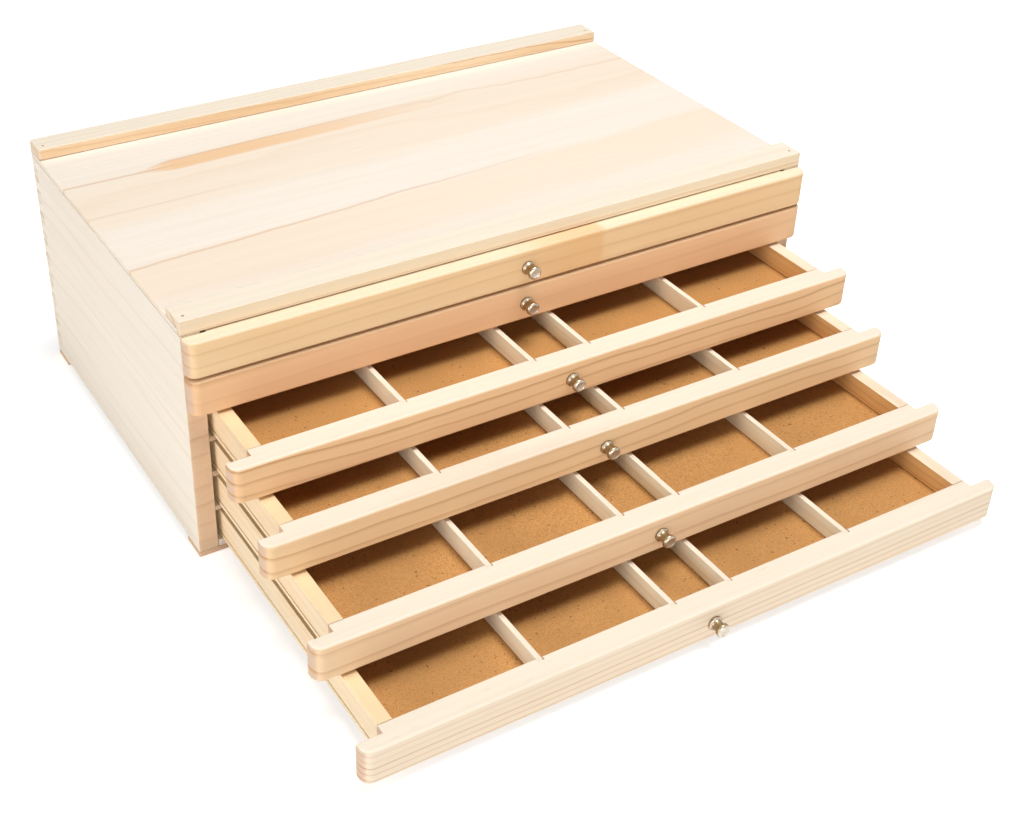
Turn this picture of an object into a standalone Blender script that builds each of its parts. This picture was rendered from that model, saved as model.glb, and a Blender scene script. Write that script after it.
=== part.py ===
"""A six-drawer pine storage box for brushes and paints, standing on two foot strips.

The cabinet is a carcass of boards with a raised rail along the front and the back of its top.
Six shallow drawers slide out of its front on wooden runners, and each one is a tray with four
dividers, a hardboard bottom, an overlaid front and a metal knob. The two upper drawers are
closed, and the four lower ones are drawn out step by step.

Units are metres, with +Z up and the drawers opening towards -Y. The origin is at the centre of
the bottom of the whole object as it stands with its drawers drawn out.
"""

import math

import bmesh
import bpy
from mathutils import Matrix, Vector

# Clearances
joint_gap = 0.0003
running_gap = 0.0003
drawer_headroom = 0.0004

# Cabinet
cabinet_width = 0.400
cabinet_depth = 0.234
panel_thickness = 0.011
back_thickness = 0.008
bottom_thickness = 0.004
top_thickness = 0.003
foot_thickness = 0.0032
foot_depth = 0.0173
rail_depth = 0.0173
front_rail_height = 0.0051
front_rail_lip = 0.003
back_rail_height = 0.0069
corner_finger_rows = 19
runner_thickness = 0.003
runner_reach = 0.005
runner_setback = 0.001
edge_ease = 0.0004

# Drawers
drawer_count = 6
side_height = 0.0192
side_thickness = 0.008
side_clearance = 0.003
drawer_back_clearance = 0.006
front_height = 0.0214
front_thickness = 0.008
front_corner_radius = 0.006
front_edge_radius = 0.0015
front_corner_steps = 4
front_edge_steps = 3
front_wall_thickness = 0.005
drawer_back_thickness = 0.008
sheet_thickness = 0.003
sheet_below_top = 0.0126
groove_depth = 0.002
kerf_height = 0.0009
kerf_depth = 0.001
kerf_below_top = 0.0157
divider_thickness = 0.003
divider_drop = 0.0005
inner_divider_offset = 0.0179
outer_divider_offset = 0.0977

# How far each drawer is drawn out, from the top one down
drawer_open = (0.0, 0.0, 0.048, 0.083, 0.135, 0.183)

# Knob
knob_below_top = 0.0109
knob_length = 0.008
knob_flange_radius = 0.004
knob_flange_thickness = 0.0009
knob_neck_radius = 0.0027
knob_head_radius = 0.0039
knob_head_round = 0.0017
knob_head_steps = 6
stud_radius = 0.00175
stud_length = 0.0065
knob_sides = 20

# Rail brads
brad_radius = 0.0006
brad_length = 0.018
brad_inset_x = 0.0045
brad_inset_y = 0.0055
brad_sides = 12

# Heights of the stack, from the ground up
bottom_low = foot_thickness + joint_gap
bay_floor = bottom_low + bottom_thickness
drawer_pitch = running_gap + side_height + drawer_headroom + runner_thickness
lowest_drawer = bay_floor + running_gap
panel_top = lowest_drawer + (drawer_count - 1) * drawer_pitch + side_height + drawer_headroom
top_board_low = panel_top + joint_gap
top_board_high = top_board_low + top_thickness
rail_low = top_board_high + joint_gap

# Half widths, from the middle of the cabinet outwards
half_width = cabinet_width / 2
bay_half = half_width - panel_thickness
side_outer = bay_half - side_clearance
side_inner = side_outer - side_thickness
back_half = side_inner - joint_gap
back_inner_y = cabinet_depth - back_thickness

# The front plane of the cabinet, placed so that the whole object is centred along Y
reach = max(drawer_open) + joint_gap + front_thickness + joint_gap + knob_length
cabinet_front_y = (reach - cabinet_depth) / 2

# Levels inside a drawer, from its running edge up
sheet_high = side_height - sheet_below_top
sheet_low = sheet_high - sheet_thickness
box_front = joint_gap
box_back = joint_gap + back_inner_y - drawer_back_clearance
tray_front = box_front + front_wall_thickness
side_front = tray_front + joint_gap
tray_back = box_back - drawer_back_thickness


def clear_scene():
    """Remove the objects that the scene starts with."""
    for obj in list(bpy.data.objects):
        bpy.data.objects.remove(obj, do_unlink=True)


def new_collection(name):
    """A collection linked to the scene."""
    collection = bpy.data.collections.new(name)
    bpy.context.scene.collection.children.link(collection)
    return collection


def new_material(name, color, roughness, metallic=0.0):
    """A plain Principled material."""
    material = bpy.data.materials.new(name)
    material.use_nodes = True
    shader = material.node_tree.nodes["Principled BSDF"]
    shader.inputs["Base Color"].default_value = (*color, 1.0)
    shader.inputs["Roughness"].default_value = roughness
    shader.inputs["Metallic"].default_value = metallic
    material.diffuse_color = (*color, 1.0)
    return material


def new_empty(name, location):
    """An empty that carries one body of the object."""
    empty = bpy.data.objects.new(name, None)
    empty.location = location
    parts.objects.link(empty)
    return empty


def new_object(name, bm, parent, location, material=None):
    """An object made from a bmesh, in the parts collection, or a cutter when it has no material."""
    mesh = bpy.data.meshes.new(name)
    bm.to_mesh(mesh)
    bm.free()
    obj = bpy.data.objects.new(name, mesh)
    obj.parent = parent
    obj.location = location
    if material is None:
        cutters.objects.link(obj)
        obj.hide_render = True
        obj.display_type = "WIRE"
    else:
        parts.objects.link(obj)
        mesh.materials.append(material)
    return obj


def boxes_bmesh(boxes, centre):
    """A bmesh of closed boxes, each given by its low and high corner, around a centre."""
    bm = bmesh.new()
    for low, high in boxes:
        middle = (Vector(low) + Vector(high)) / 2 - centre
        size = Vector(high) - Vector(low)
        matrix = Matrix.Translation(middle) @ Matrix.Diagonal((*size, 1.0))
        bmesh.ops.create_cube(bm, size=1.0, matrix=matrix)
    return bm


def centre_of(boxes):
    """The middle of the space that some boxes span."""
    low = Vector([min(box[0][axis] for box in boxes) for axis in range(3)])
    high = Vector([max(box[1][axis] for box in boxes) for axis in range(3)])
    return (low + high) / 2


def grown(box, amount):
    """A box made larger on every side by an amount."""
    low, high = box
    return [value - amount for value in low], [value + amount for value in high]


def add_boards(name, boxes, parent, material):
    """One object of separate boards with eased edges."""
    centre = centre_of(boxes)
    obj = new_object(name, boxes_bmesh(boxes, centre), parent, centre, material)
    bevel = obj.modifiers.new("eased_edges", "BEVEL")
    bevel.width = edge_ease
    bevel.segments = 1
    bevel.limit_method = "ANGLE"
    return obj


def add_board(name, low, high, parent, material):
    """One board between two corners."""
    return add_boards(name, [(low, high)], parent, material)


def add_cutter(name, boxes, parent):
    """A cutter made of boxes."""
    centre = centre_of(boxes)
    return new_object(name, boxes_bmesh(boxes, centre), parent, centre)


def cylinder_bmesh(radius, length, sides):
    """A bmesh of an upright closed cylinder that hangs down from its origin."""
    bm = bmesh.new()
    bmesh.ops.create_cone(
        bm, cap_ends=True, segments=sides, radius1=radius, radius2=radius, depth=length,
        matrix=Matrix.Translation((0.0, 0.0, -length / 2)))
    return bm


def cut(obj, cutter, operation="DIFFERENCE"):
    """Cut a piece with a cutter, or join the two."""
    boolean = obj.modifiers.new(operation.lower() + "_" + cutter.name, "BOOLEAN")
    boolean.operation = operation
    boolean.solver = "EXACT"
    boolean.object = cutter


def finger_boxes(side, odd_rows):
    """The boxes of the corner joint's even or odd rows, at the left (-1) or right (1) corner."""
    row_height = (panel_top - bottom_low) / corner_finger_rows
    near = side * (bay_half - joint_gap)
    far = side * (half_width + joint_gap)
    boxes = []
    for row in range(1 if odd_rows else 0, corner_finger_rows, 2):
        low_z = bottom_low + row * row_height - joint_gap / 2
        high_z = bottom_low + (row + 1) * row_height + joint_gap / 2
        low = (min(near, far), back_inner_y - joint_gap, low_z)
        high = (max(near, far), cabinet_depth + joint_gap, high_z)
        boxes.append((low, high))
    return boxes


def add_brad(name, x, y, rail_top, cabinet):
    """A brad that holds a rail down on a side panel, and the cutter of its hole."""
    place = (x, y, rail_top - joint_gap)
    new_object(name, cylinder_bmesh(brad_radius, brad_length, brad_sides), cabinet, place, steel)
    hole = new_object(
        name + "_hole",
        cylinder_bmesh(brad_radius + joint_gap, brad_length + joint_gap * 2, brad_sides),
        cabinet, (x, y, rail_top + joint_gap))
    return hole


def add_runners(cabinet, side, word):
    """The strips on one side panel that the drawers above the bottom board slide on."""
    near = side * (bay_half - joint_gap)
    far = side * (bay_half - runner_reach)
    for number in range(1, drawer_count):
        runner_top = lowest_drawer + (drawer_count - number) * drawer_pitch - running_gap
        add_board(
            "%s_runner_%d" % (word, number),
            (min(near, far), runner_setback, runner_top - runner_thickness),
            (max(near, far), back_inner_y - joint_gap, runner_top),
            cabinet, pine)


def add_cabinet(cabinet):
    """The carcass: sides, back, top, bottom, feet, rails, runners and brads."""
    top = add_board(
        "top_board",
        (-half_width, front_rail_lip + joint_gap, top_board_low),
        (half_width, cabinet_depth, top_board_high),
        cabinet, pine)

    front_rail = add_board(
        "front_rail",
        (-half_width, 0.0, top_board_low),
        (half_width, rail_depth, rail_low + front_rail_height),
        cabinet, pine)
    rebate_low = (-cabinet_width, front_rail_lip, 0.0)
    rebate_high = (cabinet_width, cabinet_depth, rail_low)
    cut(front_rail, add_cutter("front_rail_rebate", [(rebate_low, rebate_high)], cabinet))

    back_rail = add_board(
        "back_rail",
        (-half_width, cabinet_depth - rail_depth, rail_low),
        (half_width, cabinet_depth, rail_low + back_rail_height),
        cabinet, pine)

    for side, word in ((-1, "left"), (1, "right")):
        inner = side * bay_half
        outer = side * half_width
        panel = add_board(
            word + "_side_panel",
            (min(inner, outer), 0.0, bottom_low),
            (max(inner, outer), cabinet_depth, panel_top),
            cabinet, pine)
        cut(panel, add_cutter("corner_slots_" + word, finger_boxes(side, True), cabinet))
        add_runners(cabinet, side, word)

        brad_x = side * (half_width - brad_inset_x)
        for rail, end, brad_y, rail_height in (
                (front_rail, "front", brad_inset_y, front_rail_height),
                (back_rail, "back", cabinet_depth - rail_depth + brad_inset_y, back_rail_height)):
            hole = add_brad(
                "%s_%s_brad" % (end, word), brad_x, brad_y, rail_low + rail_height, cabinet)
            for drilled in (rail, top, panel):
                cut(drilled, hole)

    back = add_board(
        "back_panel",
        (-half_width, back_inner_y, bottom_low),
        (half_width, cabinet_depth, panel_top),
        cabinet, pine)
    back_slots = finger_boxes(-1, False) + finger_boxes(1, False)
    cut(back, add_cutter("corner_slots_back", back_slots, cabinet))

    add_board(
        "bottom_board",
        (-bay_half + joint_gap, 0.0, bottom_low),
        (bay_half - joint_gap, back_inner_y - joint_gap, bay_floor),
        cabinet, pine)

    for word, low_y in (("front", 0.0), ("back", cabinet_depth - foot_depth)):
        add_board(
            word + "_foot",
            (-half_width, low_y, 0.0),
            (half_width, low_y + foot_depth, foot_thickness),
            cabinet, pine)


def front_bmesh():
    """A drawer front with round upright corners and softened edges on its face."""
    bm = boxes_bmesh(
        [((-half_width, -front_thickness, side_height - front_height),
          (half_width, 0.0, side_height))],
        Vector((0.0, 0.0, 0.0)))
    face_y = -front_thickness
    tolerance = joint_gap / 10

    def on_face(edge):
        return all(abs(vert.co.y - face_y) < tolerance for vert in edge.verts)

    upright = [
        edge for edge in bm.edges
        if on_face(edge) and abs(edge.verts[0].co.x - edge.verts[1].co.x) < tolerance]
    bmesh.ops.bevel(
        bm, geom=upright, offset=front_corner_radius, segments=front_corner_steps,
        profile=0.5, affect="EDGES")

    def at_level(edge, level):
        return all(abs(vert.co.z - level) < tolerance for vert in edge.verts)

    def faces_out(edge):
        return any(vert.co.y < -tolerance for vert in edge.verts)

    rim = [
        edge for edge in bm.edges
        if faces_out(edge) and (at_level(edge, side_height)
                                or at_level(edge, side_height - front_height))]
    straight_back = [
        edge for edge in rim
        if abs(edge.verts[0].co.x - edge.verts[1].co.x) < tolerance
        and abs(edge.verts[0].co.x) > half_width - tolerance]
    rim = [edge for edge in rim if edge not in straight_back]
    bmesh.ops.bevel(
        bm, geom=rim, offset=front_edge_radius, segments=front_edge_steps,
        profile=0.5, affect="EDGES")
    return bm


def knob_profile():
    """The knob's outline at +X, from the middle of its cap down to the end of its stud."""
    round_centre_x = knob_head_radius - knob_head_round
    round_centre_z = knob_length - knob_head_round
    points = [(0.0, knob_length)]
    neck_angle = -math.acos(
        max(-1.0, min(1.0, (knob_neck_radius - round_centre_x) / knob_head_round)))
    for step in range(knob_head_steps + 1):
        share = step / knob_head_steps
        angle = math.pi / 2 + share * (neck_angle - math.pi / 2)
        points.append((round_centre_x + knob_head_round * math.cos(angle),
                       round_centre_z + knob_head_round * math.sin(angle)))
    flare = (knob_flange_radius - knob_neck_radius) / 2
    points.append((knob_neck_radius, knob_flange_thickness + flare))
    points.append((knob_flange_radius - flare, knob_flange_thickness + flare / 3))
    points.append((knob_flange_radius, knob_flange_thickness))
    points.append((knob_flange_radius, 0.0))
    points.append((stud_radius, 0.0))
    points.append((stud_radius, -stud_length))
    points.append((0.0, -stud_length))
    return points


def add_knob(name, drawer):
    """A turned knob with its stud in the drawer front, and the cutter of the stud's hole."""
    bm = bmesh.new()
    verts = [bm.verts.new((x, 0.0, z)) for x, z in knob_profile()]
    for first, second in zip(verts, verts[1:]):
        bm.edges.new((first, second))
    seat = (0.0, -front_thickness - joint_gap, side_height - knob_below_top)
    knob = new_object(name, bm, drawer, seat, nickel)
    knob.rotation_euler = (math.pi / 2, 0.0, 0.0)
    screw = knob.modifiers.new("turned", "SCREW")
    screw.axis = "Z"
    screw.angle = 2 * math.pi
    screw.steps = knob_sides
    screw.render_steps = knob_sides
    screw.use_merge_vertices = True
    screw.merge_threshold = 0.00001
    screw.use_smooth_shade = True

    hole = new_object(
        name + "_hole",
        cylinder_bmesh(stud_radius + joint_gap, stud_length + joint_gap * 2, knob_sides),
        drawer, seat)
    hole.rotation_euler = (math.pi / 2, 0.0, 0.0)
    return hole


def divider_boxes():
    """The four dividers of a drawer, with their ends let into its front wall and its back."""
    boxes = []
    for offset in (-outer_divider_offset, -inner_divider_offset,
                   inner_divider_offset, outer_divider_offset):
        low = (offset - divider_thickness / 2, tray_front - groove_depth, sheet_high + joint_gap)
        high = (offset + divider_thickness / 2, tray_back + groove_depth, side_height - divider_drop)
        boxes.append((low, high))
    return boxes


def add_drawer(number, drawer):
    """One drawer: its front, sides, sheet, knob, and the frame of its walls and dividers."""
    name = "drawer_%d_" % number
    sheet = ((-side_inner - groove_depth, tray_front - groove_depth, sheet_low),
             (side_inner + groove_depth, tray_back + groove_depth, sheet_high))
    add_board(name + "bottom", sheet[0], sheet[1], drawer, hardboard)
    sheet_groove = add_cutter(name + "sheet_groove", [grown(sheet, joint_gap)], drawer)

    walls = [((-side_outer, box_front, 0.0), (side_outer, tray_front, side_height)),
             ((-back_half, tray_back, 0.0), (back_half, box_back, side_height))]
    frame = add_boards(name + "divider_frame", walls, drawer, pine)
    cut(frame, sheet_groove)
    cut(frame, add_cutter(name + "dividers", divider_boxes(), drawer), "UNION")

    kerf_high = side_height - kerf_below_top
    kerf_low = kerf_high - kerf_height
    for side, word in ((-1, "left"), (1, "right")):
        inner = side * side_inner
        outer = side * side_outer
        board = add_board(
            name + word + "_side",
            (min(inner, outer), side_front, 0.0),
            (max(inner, outer), box_back, side_height),
            drawer, pine)
        cut(board, sheet_groove)
        near = side * (side_outer - kerf_depth)
        far = side * (side_outer + kerf_depth)
        kerf = ((min(near, far), box_front - kerf_depth, kerf_low),
                (max(near, far), box_back + kerf_depth, kerf_high))
        kerf_cutter = add_cutter(name + word + "_kerf", [kerf], drawer)
        cut(board, kerf_cutter)
        cut(frame, kerf_cutter)

    front = new_object(name + "front", front_bmesh(), drawer, (0.0, 0.0, 0.0), pine)
    cut(front, add_knob(name + "knob", drawer))


clear_scene()
parts = new_collection("brush_storage_box")
cutters = new_collection("cutters")
pine = new_material("pine", (0.74, 0.50, 0.28), 0.62)
hardboard = new_material("hardboard", (0.40, 0.25, 0.13), 0.7)
nickel = new_material("nickel", (0.62, 0.60, 0.56), 0.32, 1.0)
steel = new_material("steel", (0.35, 0.33, 0.31), 0.45, 1.0)

add_cabinet(new_empty("cabinet", (0.0, cabinet_front_y, 0.0)))
for index in range(drawer_count):
    height = lowest_drawer + (drawer_count - 1 - index) * drawer_pitch
    front_y = cabinet_front_y - joint_gap - drawer_open[index]
    add_drawer(index + 1, new_empty("drawer_%d" % (index + 1), (0.0, front_y, height)))
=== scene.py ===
"""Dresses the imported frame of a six-drawer pine storage box for brushes and paints.

The cabinet's boards, the drawer fronts, sides, walls, dividers and knobs are modelled here over
the frame's own sizes. Runners, feet, brads, the bottom board and the hardboard sheets are the
frame's nodes with a new finish. Units are metres, with +Z up and the drawers opening towards -Y.
"""

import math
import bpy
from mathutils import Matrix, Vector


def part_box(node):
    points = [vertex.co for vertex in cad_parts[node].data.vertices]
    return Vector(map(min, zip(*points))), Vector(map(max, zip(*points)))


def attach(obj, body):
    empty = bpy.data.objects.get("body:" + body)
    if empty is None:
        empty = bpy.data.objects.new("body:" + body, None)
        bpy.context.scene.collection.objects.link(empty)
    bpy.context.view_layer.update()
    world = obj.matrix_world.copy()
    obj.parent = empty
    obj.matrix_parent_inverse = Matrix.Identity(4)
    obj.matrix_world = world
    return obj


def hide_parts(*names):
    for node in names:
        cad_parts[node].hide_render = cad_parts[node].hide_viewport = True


bl_info = {
    "name": "Brush Storage Box",
    "version": (1, 0, 0),
    "blender": (4, 5, 0),
    "location": "3D View > Sidebar > Brush Box",
    "description": "Builds the looks of a pine box with six shallow drawers for brushes and paints",
    "category": "Add Mesh",
}

import bmesh
import bpy
from bpy.props import FloatProperty, FloatVectorProperty, IntProperty, PointerProperty
from bpy.types import NodeSocket, Operator, Panel, PropertyGroup
from mathutils import Matrix, Vector

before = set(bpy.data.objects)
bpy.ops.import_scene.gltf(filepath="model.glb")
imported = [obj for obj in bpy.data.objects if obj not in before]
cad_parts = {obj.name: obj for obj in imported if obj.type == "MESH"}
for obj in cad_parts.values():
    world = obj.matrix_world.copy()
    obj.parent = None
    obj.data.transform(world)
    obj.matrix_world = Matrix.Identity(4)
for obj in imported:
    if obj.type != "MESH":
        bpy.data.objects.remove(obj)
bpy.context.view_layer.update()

drawers = ["drawer_%d" % number for number in range(1, 7)]
sides = ((-1, "left"), (1, "right"))

along_x, along_y, along_z = (1.0, 0.0, 0.0), (0.0, 1.0, 0.0), (0.0, 0.0, 1.0)
nowhere = (0.0, 0.0, 0.0)
black = (0.0, 0.0, 0.0, 1.0)
# Where the corners of a board lie whose edges aren't rubbed
far_off = 9.0
# How far the normal of a face points along an axis that it looks along
square_on = 0.9
wood_gloss = 0.3


# Settings that a user would change


def setting(kind, **limits):
    """What makes settings of one kind, each from its name, its description and its default."""
    def make(name, description, default, **more):
        return kind(name=name, description=description, default=default, **{**limits, **more})
    return make


length = setting(FloatProperty, min=0.0, precision=5, subtype="DISTANCE", unit="LENGTH")
share = setting(FloatProperty, min=0.0, max=1.0, subtype="FACTOR")
power = setting(FloatProperty, min=0.0, unit="POWER")
focal_length = setting(FloatProperty, min=1.0, subtype="DISTANCE_CAMERA", unit="CAMERA")
count = setting(IntProperty, min=1)
colour = setting(FloatVectorProperty, size=3, min=0.0, max=1.0, subtype="COLOR")


class BoxSizes(PropertyGroup):
    """Sizes of the details that the boards get over the frame's own boxes"""

    edge_ease: length("Edge Ease", "How far the sharp edges of the boards are rubbed back", 0.0005)
    ease_steps: count("Ease Steps", "Faces across each eased edge", 2)
    corner_radius: length("Corner Radius", "Radius of a drawer front's upright corners", 0.006)
    corner_steps: count("Corner Steps", "Faces round each upright corner", 9)
    rim_radius: length("Rim Radius", "Radius round a drawer front's upper and lower edge", 0.0015)
    rim_steps: count("Rim Steps", "Faces across each rounded edge", 6)
    joint_gap: length("Joint Gap", "Gap between two neighbouring pieces", 0.0003)
    comb_rows: count("Comb Rows", "Rows of fingers in a back corner joint", 19, min=3)
    rail_lip: length("Rail Lip", "Thickness of the front rail's lip over the top board", 0.003)
    kerf_height: length("Kerf Height", "Height of the saw kerf along a drawer side", 0.0009)
    kerf_depth: length("Kerf Depth", "Depth of the saw kerf along a drawer side", 0.001)
    kerf_below_top: length("Kerf Below Top", "Upper edge of the kerf below the side's top", 0.0157)
    wall_thickness: length("Wall Thickness", "Thickness of a drawer's inner front wall", 0.005)
    back_thickness: length("Back Thickness", "Thickness of a drawer's back", 0.008)
    divider_thickness: length("Divider Thickness", "Thickness of a divider", 0.003)
    divider_drop: length("Divider Drop", "How far a divider's top lies below the sides", 0.0005)
    inner_offset: length("Inner Offset", "Middle of an inner divider from the centre", 0.0179)
    outer_offset: length("Outer Offset", "Middle of an outer divider from the centre", 0.0977)
    notch_depth: length("Notch Depth", "How far a divider's end is let into a wall", 0.002)
    notch_slack: length("Notch Slack", "Gap between a divider's end and its notch", 0.0002)
    brad_radius: length("Brad Radius", "Radius of the brads in the rails", 0.0006)
    knob_length: length("Knob Length", "How far a knob stands out from its seat", 0.008)
    knob_radius: length("Knob Radius", "Radius of a knob's flange", 0.004)
    stud_radius: length("Stud Radius", "Radius of the stud behind a knob", 0.00175)
    stud_length: length("Stud Length", "Length of the stud behind a knob", 0.0065)
    knob_sides: count("Knob Sides", "Faces round a knob", 40, min=12)


class BoxColours(PropertyGroup):
    """Colours of the finishes"""

    pale_pine: colour("Pale Pine", "Bare pine on the top board", (0.92, 0.835, 0.745))
    warm_pine: colour("Warm Pine", "Warmer stretches of the same board", (0.91, 0.78, 0.64))
    front_pine: colour("Front Pine", "Face of the drawer fronts", (0.89, 0.59, 0.335))
    grain_line: colour("Grain Line", "Late wood of the growth rings", (0.60, 0.32, 0.14))
    end_grain: colour("End Grain", "Sawn ends of the boards", (0.84, 0.58, 0.38))
    # Painted highlight for faces that look up, and also the colour of rubbed edges
    top_highlight_and_wear: colour("Sanded Top", "Edges and tops that were sanded last", (0.90, 0.80, 0.66))
    heart_wood: colour("Heart Wood", "Streak of heart wood in the top board", (0.86, 0.50, 0.22))
    hardboard: colour("Hardboard", "Smooth side of the hardboard sheets", (0.57, 0.295, 0.100))
    fleck: colour("Fleck", "Dark flecks in the hardboard", (0.16, 0.07, 0.025))
    nickel: colour("Nickel", "Plating of the knobs", (0.57, 0.50, 0.42))
    steel: colour("Steel", "Brads in the rails", (0.62, 0.50, 0.40))


class StageSettings(PropertyGroup):
    """Floor, light and camera"""

    floor: colour("Floor", "Colour of the floor", (0.92, 0.92, 0.92))
    floor_width: length("Floor Width", "How far the floor reaches from side to side", 16.0)
    floor_glow: share("Floor Glow", "White added to the floor as the camera sees it", 0.60)
    far_glow: share("Far Glow", "The same beyond the reach of the lamps", 0.97)
    lit_reach: length("Lit Reach", "How far from the middle the lamps light the floor fully", 0.7)
    sky: share("Sky", "Strength of the even light from all round", 0.06)
    key: power("Key", "Power of the large lamp overhead", 29.0)
    side: power("Side", "Power of the lamp on the left", 21.0)
    fill: power("Fill", "Power of the weak lamp in front", 27.0)
    lens: focal_length("Lens", "Focal length of the camera", 54.47)


# Modelling steps


def select_only(piece):
    """Make a piece the only one that an operator acts on."""
    bpy.ops.object.select_all(action="DESELECT")
    piece.select_set(True)
    bpy.context.view_layer.objects.active = piece


def add_new(operator, name, **settings):
    """What an operator adds while nothing else is selected, with a name."""
    bpy.ops.object.select_all(action="DESELECT")
    operator(**settings)
    piece = bpy.context.object
    piece.name = piece.data.name = name
    return piece


def add_block(name, low, high):
    """A block that fills the space between two corners, with its place in its mesh."""
    low, high = Vector(low), Vector(high)
    block = add_new(bpy.ops.mesh.primitive_cube_add, name, size=1.0, location=(low + high) / 2)
    block.scale = high - low
    bpy.ops.object.transform_apply()
    return block


def start_edit(piece, kind):
    """Open a piece in edit mode with nothing selected."""
    select_only(piece)
    bpy.ops.object.mode_set(mode="EDIT")
    bpy.ops.mesh.select_mode(type=kind)
    bpy.ops.mesh.select_all(action="DESELECT")


def pick(piece, kind, test):
    """Select the edges or faces of the piece in edit mode that pass a test."""
    bpy.ops.mesh.select_all(action="DESELECT")
    mesh = bmesh.from_edit_mesh(piece.data)
    found = [part for part in getattr(mesh, kind) if test(part)]
    if not found:
        raise ValueError("%s has no %s to pick" % (piece.name, kind))
    for part in found:
        part.select_set(True)
    bmesh.update_edit_mesh(piece.data)


def use_modifier(piece, kind, **settings):
    """Add a modifier to a piece and apply it."""
    select_only(piece)
    bpy.ops.object.modifier_add(type=kind)
    modifier = piece.modifiers[-1]
    for name, value in settings.items():
        setattr(modifier, name, value)
    bpy.ops.object.modifier_apply(modifier=modifier.name)


def cut_out(piece, cutter):
    """Take a cutter's space out of a piece, and remove the cutter."""
    use_modifier(piece, "BOOLEAN", object=cutter, operation="DIFFERENCE", solver="EXACT")
    bpy.data.meshes.remove(cutter.data)


def cut_block(piece, low, high):
    """Take the space between two corners out of a piece."""
    cut_out(piece, add_block("cutter", low, high))


def bore(piece, faces, radius, depth, mouth, turn=nowhere):
    """Bore a round hole of a depth into a piece, round its mouth."""
    cut_out(piece, add_new(
        bpy.ops.mesh.primitive_cylinder_add, "drill", vertices=faces, radius=radius,
        depth=depth * 2, location=mouth, rotation=turn))


def ease_edges(piece, part=1.0):
    """Rub back the sharp edges of a board by a part of the usual ease."""
    sizes = bpy.context.scene.box_sizes
    use_modifier(
        piece, "BEVEL", width=sizes.edge_ease * part, segments=sizes.ease_steps,
        limit_method="ANGLE", angle_limit=math.radians(40))


def smooth_rounds(piece, angle=35.0):
    """Shade the rounds of a piece smooth, and leave its large faces flat."""
    select_only(piece)
    bpy.ops.object.shade_smooth_by_angle(angle=math.radians(angle))
    use_modifier(piece, "WEIGHTED_NORMAL", keep_sharp=True)


def seat(piece, body, finish, *nodes, slot="pine"):
    """Give a piece its body, its finish and the nodes that it stands for. The slot is not used."""
    piece.data.materials.clear()
    piece.data.materials.append(finish)
    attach(piece, body)
    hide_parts(*nodes)


def copy_of(piece, name, shift):
    """A copy of a piece with its own mesh, moved by a shift."""
    mesh = piece.data.copy()
    mesh.name = name
    mesh.transform(Matrix.Translation(shift))
    copied = bpy.data.objects.new(name, mesh)
    bpy.context.scene.collection.objects.link(copied)
    return copied


def seat_in_drawers(pattern, part, nodes, finishes, slot="pine"):
    """Give every drawer its copy of a part that was modelled for the top one."""
    first_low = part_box(drawers[0] + "_front")[0]
    for number, drawer in enumerate(drawers):
        piece = pattern
        if number:
            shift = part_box(drawer + "_front")[0] - first_low
            piece = copy_of(pattern, "%s_%s" % (drawer, part), shift)
        finish = finishes[number] if isinstance(finishes, list) else finishes
        seat(piece, drawer, finish, *["%s_%s" % (drawer, node) for node in nodes], slot=slot)


def cut_sheet_groove(board):
    """Cut the groove for the top drawer's hardboard sheet into a board."""
    gap = bpy.context.scene.box_sizes.joint_gap
    low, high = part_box("drawer_1_bottom")
    grow = Vector((gap, gap, gap))
    cut_block(board, low - grow, high + grow)


def divider_offsets():
    """The middles of a drawer's four dividers, from left to right."""
    sizes = bpy.context.scene.box_sizes
    return (-sizes.outer_offset, -sizes.inner_offset, sizes.inner_offset, sizes.outer_offset)


def cut_divider_notches(wall, inner_y):
    """Cut the notches for the ends of the top drawer's dividers into a wall's inner face."""
    sizes = bpy.context.scene.box_sizes
    floor_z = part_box("drawer_1_bottom")[1].z + sizes.joint_gap / 2
    top_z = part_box("drawer_1_divider_frame")[1].z + sizes.joint_gap
    half = sizes.divider_thickness / 2 + sizes.notch_slack
    reach = sizes.notch_depth + sizes.notch_slack
    for offset in divider_offsets():
        cut_block(wall, (offset - half, inner_y - reach, floor_z),
                  (offset + half, inner_y + reach, top_z))


def cut_comb(board, word, odd_rows):
    """Cut the slots of the left or right corner joint's even or odd rows into a board."""
    sizes = bpy.context.scene.box_sizes
    low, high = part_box(word + "_side_panel")
    inner_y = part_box("back_panel")[0].y
    gap = sizes.joint_gap
    row = (high.z - low.z) / sizes.comb_rows
    first = int(odd_rows)
    slots = add_block(
        "slots", (low.x - gap, inner_y - gap, low.z + first * row - gap / 2),
        (high.x + gap, high.y + gap, low.z + (first + 1) * row + gap / 2))
    use_modifier(
        slots, "ARRAY", count=(sizes.comb_rows + 1 - first) // 2, use_relative_offset=False,
        use_constant_offset=True, constant_offset_displace=(0.0, 0.0, row * 2))
    cut_out(board, slots)


def drill_brad_holes(piece, *ends):
    """Drill a board for the brads at some ends of the rails."""
    sizes = bpy.context.scene.box_sizes
    for end in ends:
        low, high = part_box(end + "_brad")
        bore(piece, 16, sizes.brad_radius + sizes.joint_gap / 3, high.z - low.z,
             ((low.x + high.x) / 2, (low.y + high.y) / 2, high.z))


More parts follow.
